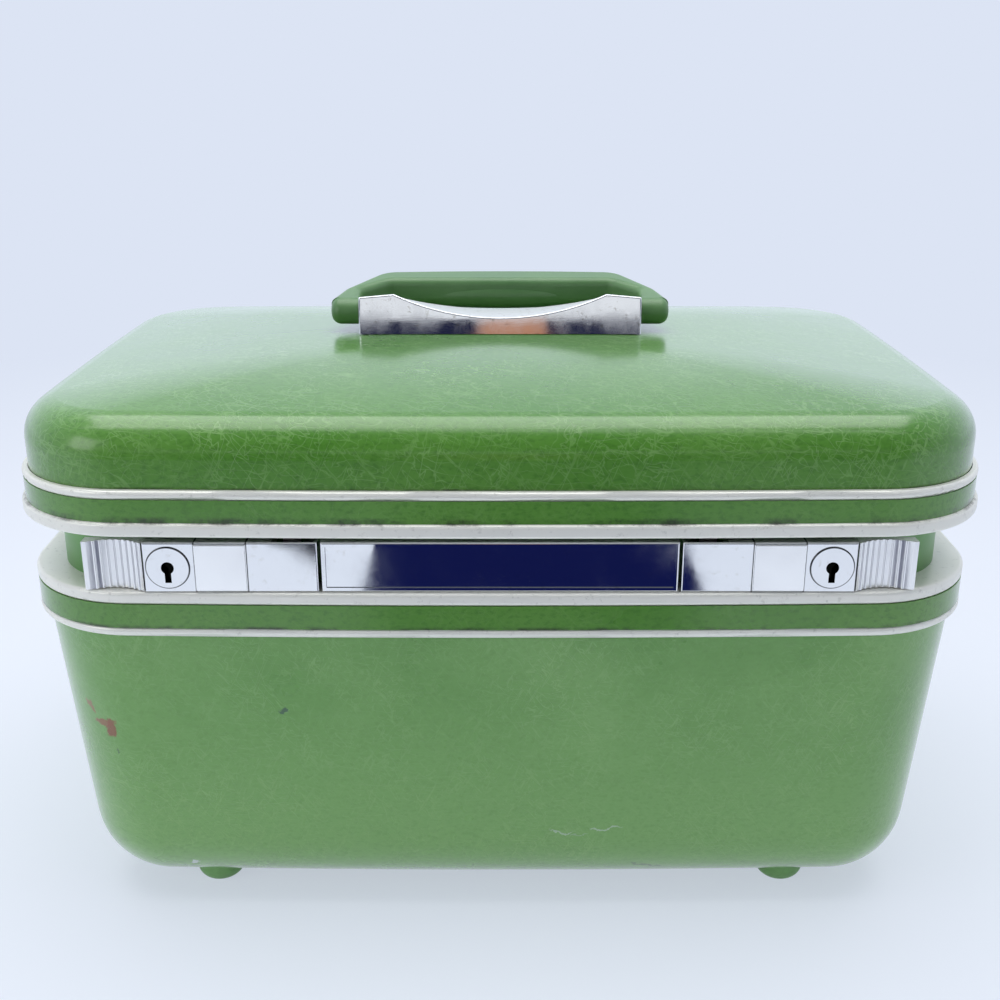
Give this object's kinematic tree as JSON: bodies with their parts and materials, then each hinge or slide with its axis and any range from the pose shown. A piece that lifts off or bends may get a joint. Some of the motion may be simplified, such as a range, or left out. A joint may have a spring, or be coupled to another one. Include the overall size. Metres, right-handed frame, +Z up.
{
  "type": "makeup train case",
  "caption": "Rigid green train case with crowned hinged lid, bright metal rims, folding bail handle, slide latches with locks, lid stays, mirror and lift-out tray.",
  "frame": {"origin": "centre of the case in plan, on the floor under its feet", "axes": "+X along the width to the right as seen from the front, +Y to the hinged back, +Z up"},
  "size_m": [0.3474, 0.2224, 0.2248],
  "materials": {
    "green_vinyl": "grained vinyl, semi-gloss",
    "green_moulding": "moulded, satin",
    "rim_aluminium": "satin drawn",
    "lining_fabric": "rayon twill",
    "chrome_plate": "polished",
    "satin_plate": "satin",
    "plated_steel": "zinc plated",
    "mirror_glass": "silvered",
    "tray_plastic": "moulded"
  },
  "bodies": {
    "base": {"base_shell": "green_vinyl", "base_lining": "lining_fabric", "base_frame": "rim_aluminium", "base_band": "green_vinyl", "base_neck": "green_moulding", "foot_left_front": "green_moulding", "foot_left_back": "green_moulding", "foot_right_front": "green_moulding", "foot_right_back": "green_moulding", "foot_rivets": "plated_steel", "centre_plate": "chrome_plate", "tray_rail_front": "tray_plastic", "tray_rail_back": "tray_plastic", "latch_plate_left": "chrome_plate", "latch_plate_right": "chrome_plate", "satin_pad_left": "satin_plate", "satin_pad_right": "satin_plate", "latch_spring_left": "plated_steel", "latch_spring_right": "plated_steel", "hinge_leaf_base_left": "plated_steel", "hinge_leaf_base_right": "plated_steel", "hinge_pin_left": "plated_steel", "hinge_pin_right": "plated_steel", "stay_pin_left": "plated_steel", "stay_pin_right": "plated_steel"},
    "lid": {"lid_shell": "green_vinyl", "lid_frame": "rim_aluminium", "lid_band": "green_vinyl", "lid_lining": "lining_fabric", "mirror": "mirror_glass", "mirror_frame": "tray_plastic", "handle_bracket": "chrome_plate", "handle_pins": "plated_steel", "handle_backing_plate": "plated_steel", "handle_rivets": "plated_steel", "strike_left": "plated_steel", "strike_right": "plated_steel", "hinge_leaf_lid_left": "plated_steel", "hinge_leaf_lid_right": "plated_steel", "stay_stud_left": "plated_steel", "stay_stud_right": "plated_steel"},
    "handle": {"handle_bail": "green_moulding"},
    "tray": {"tray": "tray_plastic"},
    "latch_slide_left": {"thumb_slide_left": "chrome_plate", "latch_bolt_left": "plated_steel"},
    "lock_left": {"lock_plug_left": "chrome_plate", "lock_cam_left": "plated_steel"},
    "stay_left": {"stay_arm_left": "plated_steel"},
    "latch_slide_right": {"thumb_slide_right": "chrome_plate", "latch_bolt_right": "plated_steel"},
    "lock_right": {"lock_plug_right": "chrome_plate", "lock_cam_right": "plated_steel"},
    "stay_right": {"stay_arm_right": "plated_steel"}
  },
  "joints": [
    {"name": "lid_hinge", "type": "hinge", "parent": "base", "child": "lid", "pos_m": [0, 0.102, 0.154], "axis": [-1, 0, 0], "range_deg": [0, 100]},
    {"name": "handle_swing", "type": "hinge", "parent": "lid", "child": "handle", "pos_m": [0, 0, 0.2145], "axis": [1, 0, 0], "range_deg": [0, 164]},
    {"name": "tray_lift", "type": "slide", "parent": "base", "child": "tray", "axis": [0, 0, 1], "range_m": [0, 0.04]},
    {"name": "latch_slide_left", "type": "slide", "parent": "base", "child": "latch_slide_left", "axis": [-1, 0, 0], "range_m": [0, 0.008], "stiffness_N_per_m": 250, "springref_m": -0.004, "deforming": ["latch_spring_left"]},
    {"name": "lock_turn_left", "type": "hinge", "parent": "base", "child": "lock_left", "pos_m": [-0.1128, -0.105, 0.14675], "axis": [0, 1, 0], "range_deg": [-90, 0]},
    {"name": "stay_swing_left", "type": "hinge", "parent": "lid", "child": "stay_left", "pos_m": [-0.152, 0.04331, 0.16647], "axis": [-1, 0, 0], "range_deg": [-50, 0]},
    {"name": "latch_slide_right", "type": "slide", "parent": "base", "child": "latch_slide_right", "axis": [1, 0, 0], "range_m": [0, 0.008], "stiffness_N_per_m": 250, "springref_m": -0.004, "deforming": ["latch_spring_right"]},
    {"name": "lock_turn_right", "type": "hinge", "parent": "base", "child": "lock_right", "pos_m": [0.1128, -0.105, 0.14675], "axis": [0, 1, 0], "range_deg": [0, 90]},
    {"name": "stay_swing_right", "type": "hinge", "parent": "lid", "child": "stay_right", "pos_m": [0.152, 0.04331, 0.16647], "axis": [-1, 0, 0], "range_deg": [-50, 0]}
  ],
  "couplings": [
    {"joint": "stay_swing_left", "follows": "lid_hinge", "ratio": -0.5},
    {"joint": "stay_swing_right", "follows": "lid_hinge", "ratio": -0.5}
  ]
}
